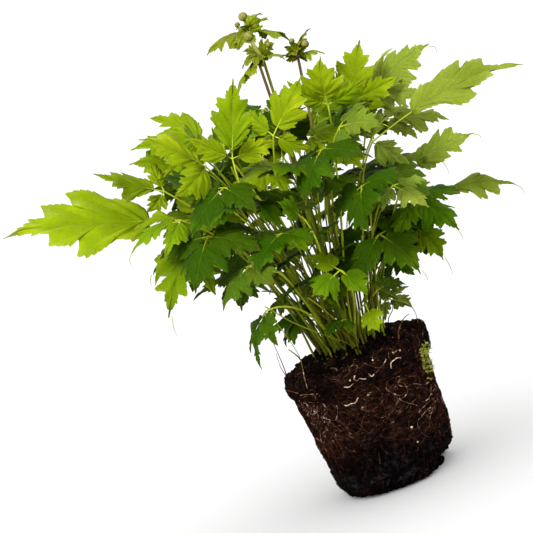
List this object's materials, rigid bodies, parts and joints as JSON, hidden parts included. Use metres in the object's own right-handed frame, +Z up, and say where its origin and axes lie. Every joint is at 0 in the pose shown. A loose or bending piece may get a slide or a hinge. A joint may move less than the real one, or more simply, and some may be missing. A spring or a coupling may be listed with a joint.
{
  "type": "japanese anemone with bare root ball",
  "caption": "Young Japanese anemone out of its pot: a bushy crown of toothed three-part leaves and budded flower stems on a pot-shaped root ball.",
  "frame": {"origin": "middle of the root ball's flat foot, which the plant stands on", "axes": "+Z up along the root ball's axis; the camera of the picture looks along +Y, so the longest leaf points to -X"},
  "size_m": [0.45, 0.2711, 0.4139],
  "materials": {
    "root_mass": "matte",
    "leaf_young": "matte",
    "leaf_green": "matte",
    "leaf_old": "matte",
    "flower_stalk": "matte",
    "bud": "matte"
  },
  "bodies": {
    "root": {"root_ball": "root_mass", "flower_stem_1": "flower_stalk", "bud_1a": "bud", "bud_1b": "bud", "flower_stem_2": "flower_stalk", "bud_2a": "bud", "bud_2b": "bud", "flower_stem_3": "flower_stalk", "bud_3a": "bud", "bud_3b": "bud", "leaf_01": "leaf_young", "leaf_02": "leaf_young", "leaf_03": "leaf_young", "leaf_04": "leaf_young", "leaf_05": "leaf_young", "leaf_06": "leaf_young", "leaf_07": "leaf_young", "leaf_08": "leaf_young", "leaf_09": "leaf_young", "leaf_10": "leaf_young", "leaf_11": "leaf_young", "leaf_12": "leaf_young", "leaf_13": "leaf_green", "leaf_14": "leaf_young", "leaf_15": "leaf_green", "leaf_16": "leaf_young", "leaf_17": "leaf_old", "leaf_18": "leaf_old", "leaf_19": "leaf_green", "leaf_20": "leaf_old", "leaf_21": "leaf_old", "leaf_22": "leaf_old", "leaf_23": "leaf_green", "leaf_24": "leaf_old", "leaf_25": "leaf_green", "leaf_26": "leaf_old", "leaf_27": "leaf_young", "leaf_28": "leaf_old", "leaf_29": "leaf_young", "leaf_30": "leaf_green", "leaf_31": "leaf_old", "leaf_32": "leaf_old", "leaf_33": "leaf_old", "leaf_34": "leaf_green", "leaf_35": "leaf_old", "leaf_36": "leaf_green", "leaf_37": "leaf_old", "leaf_38": "leaf_old", "leaf_39": "leaf_old", "leaf_40": "leaf_green", "leaf_41": "leaf_old", "leaf_42": "leaf_old", "leaf_43": "leaf_green", "leaf_44": "leaf_green", "leaf_45": "leaf_green"}
  },
  "joints": []
}
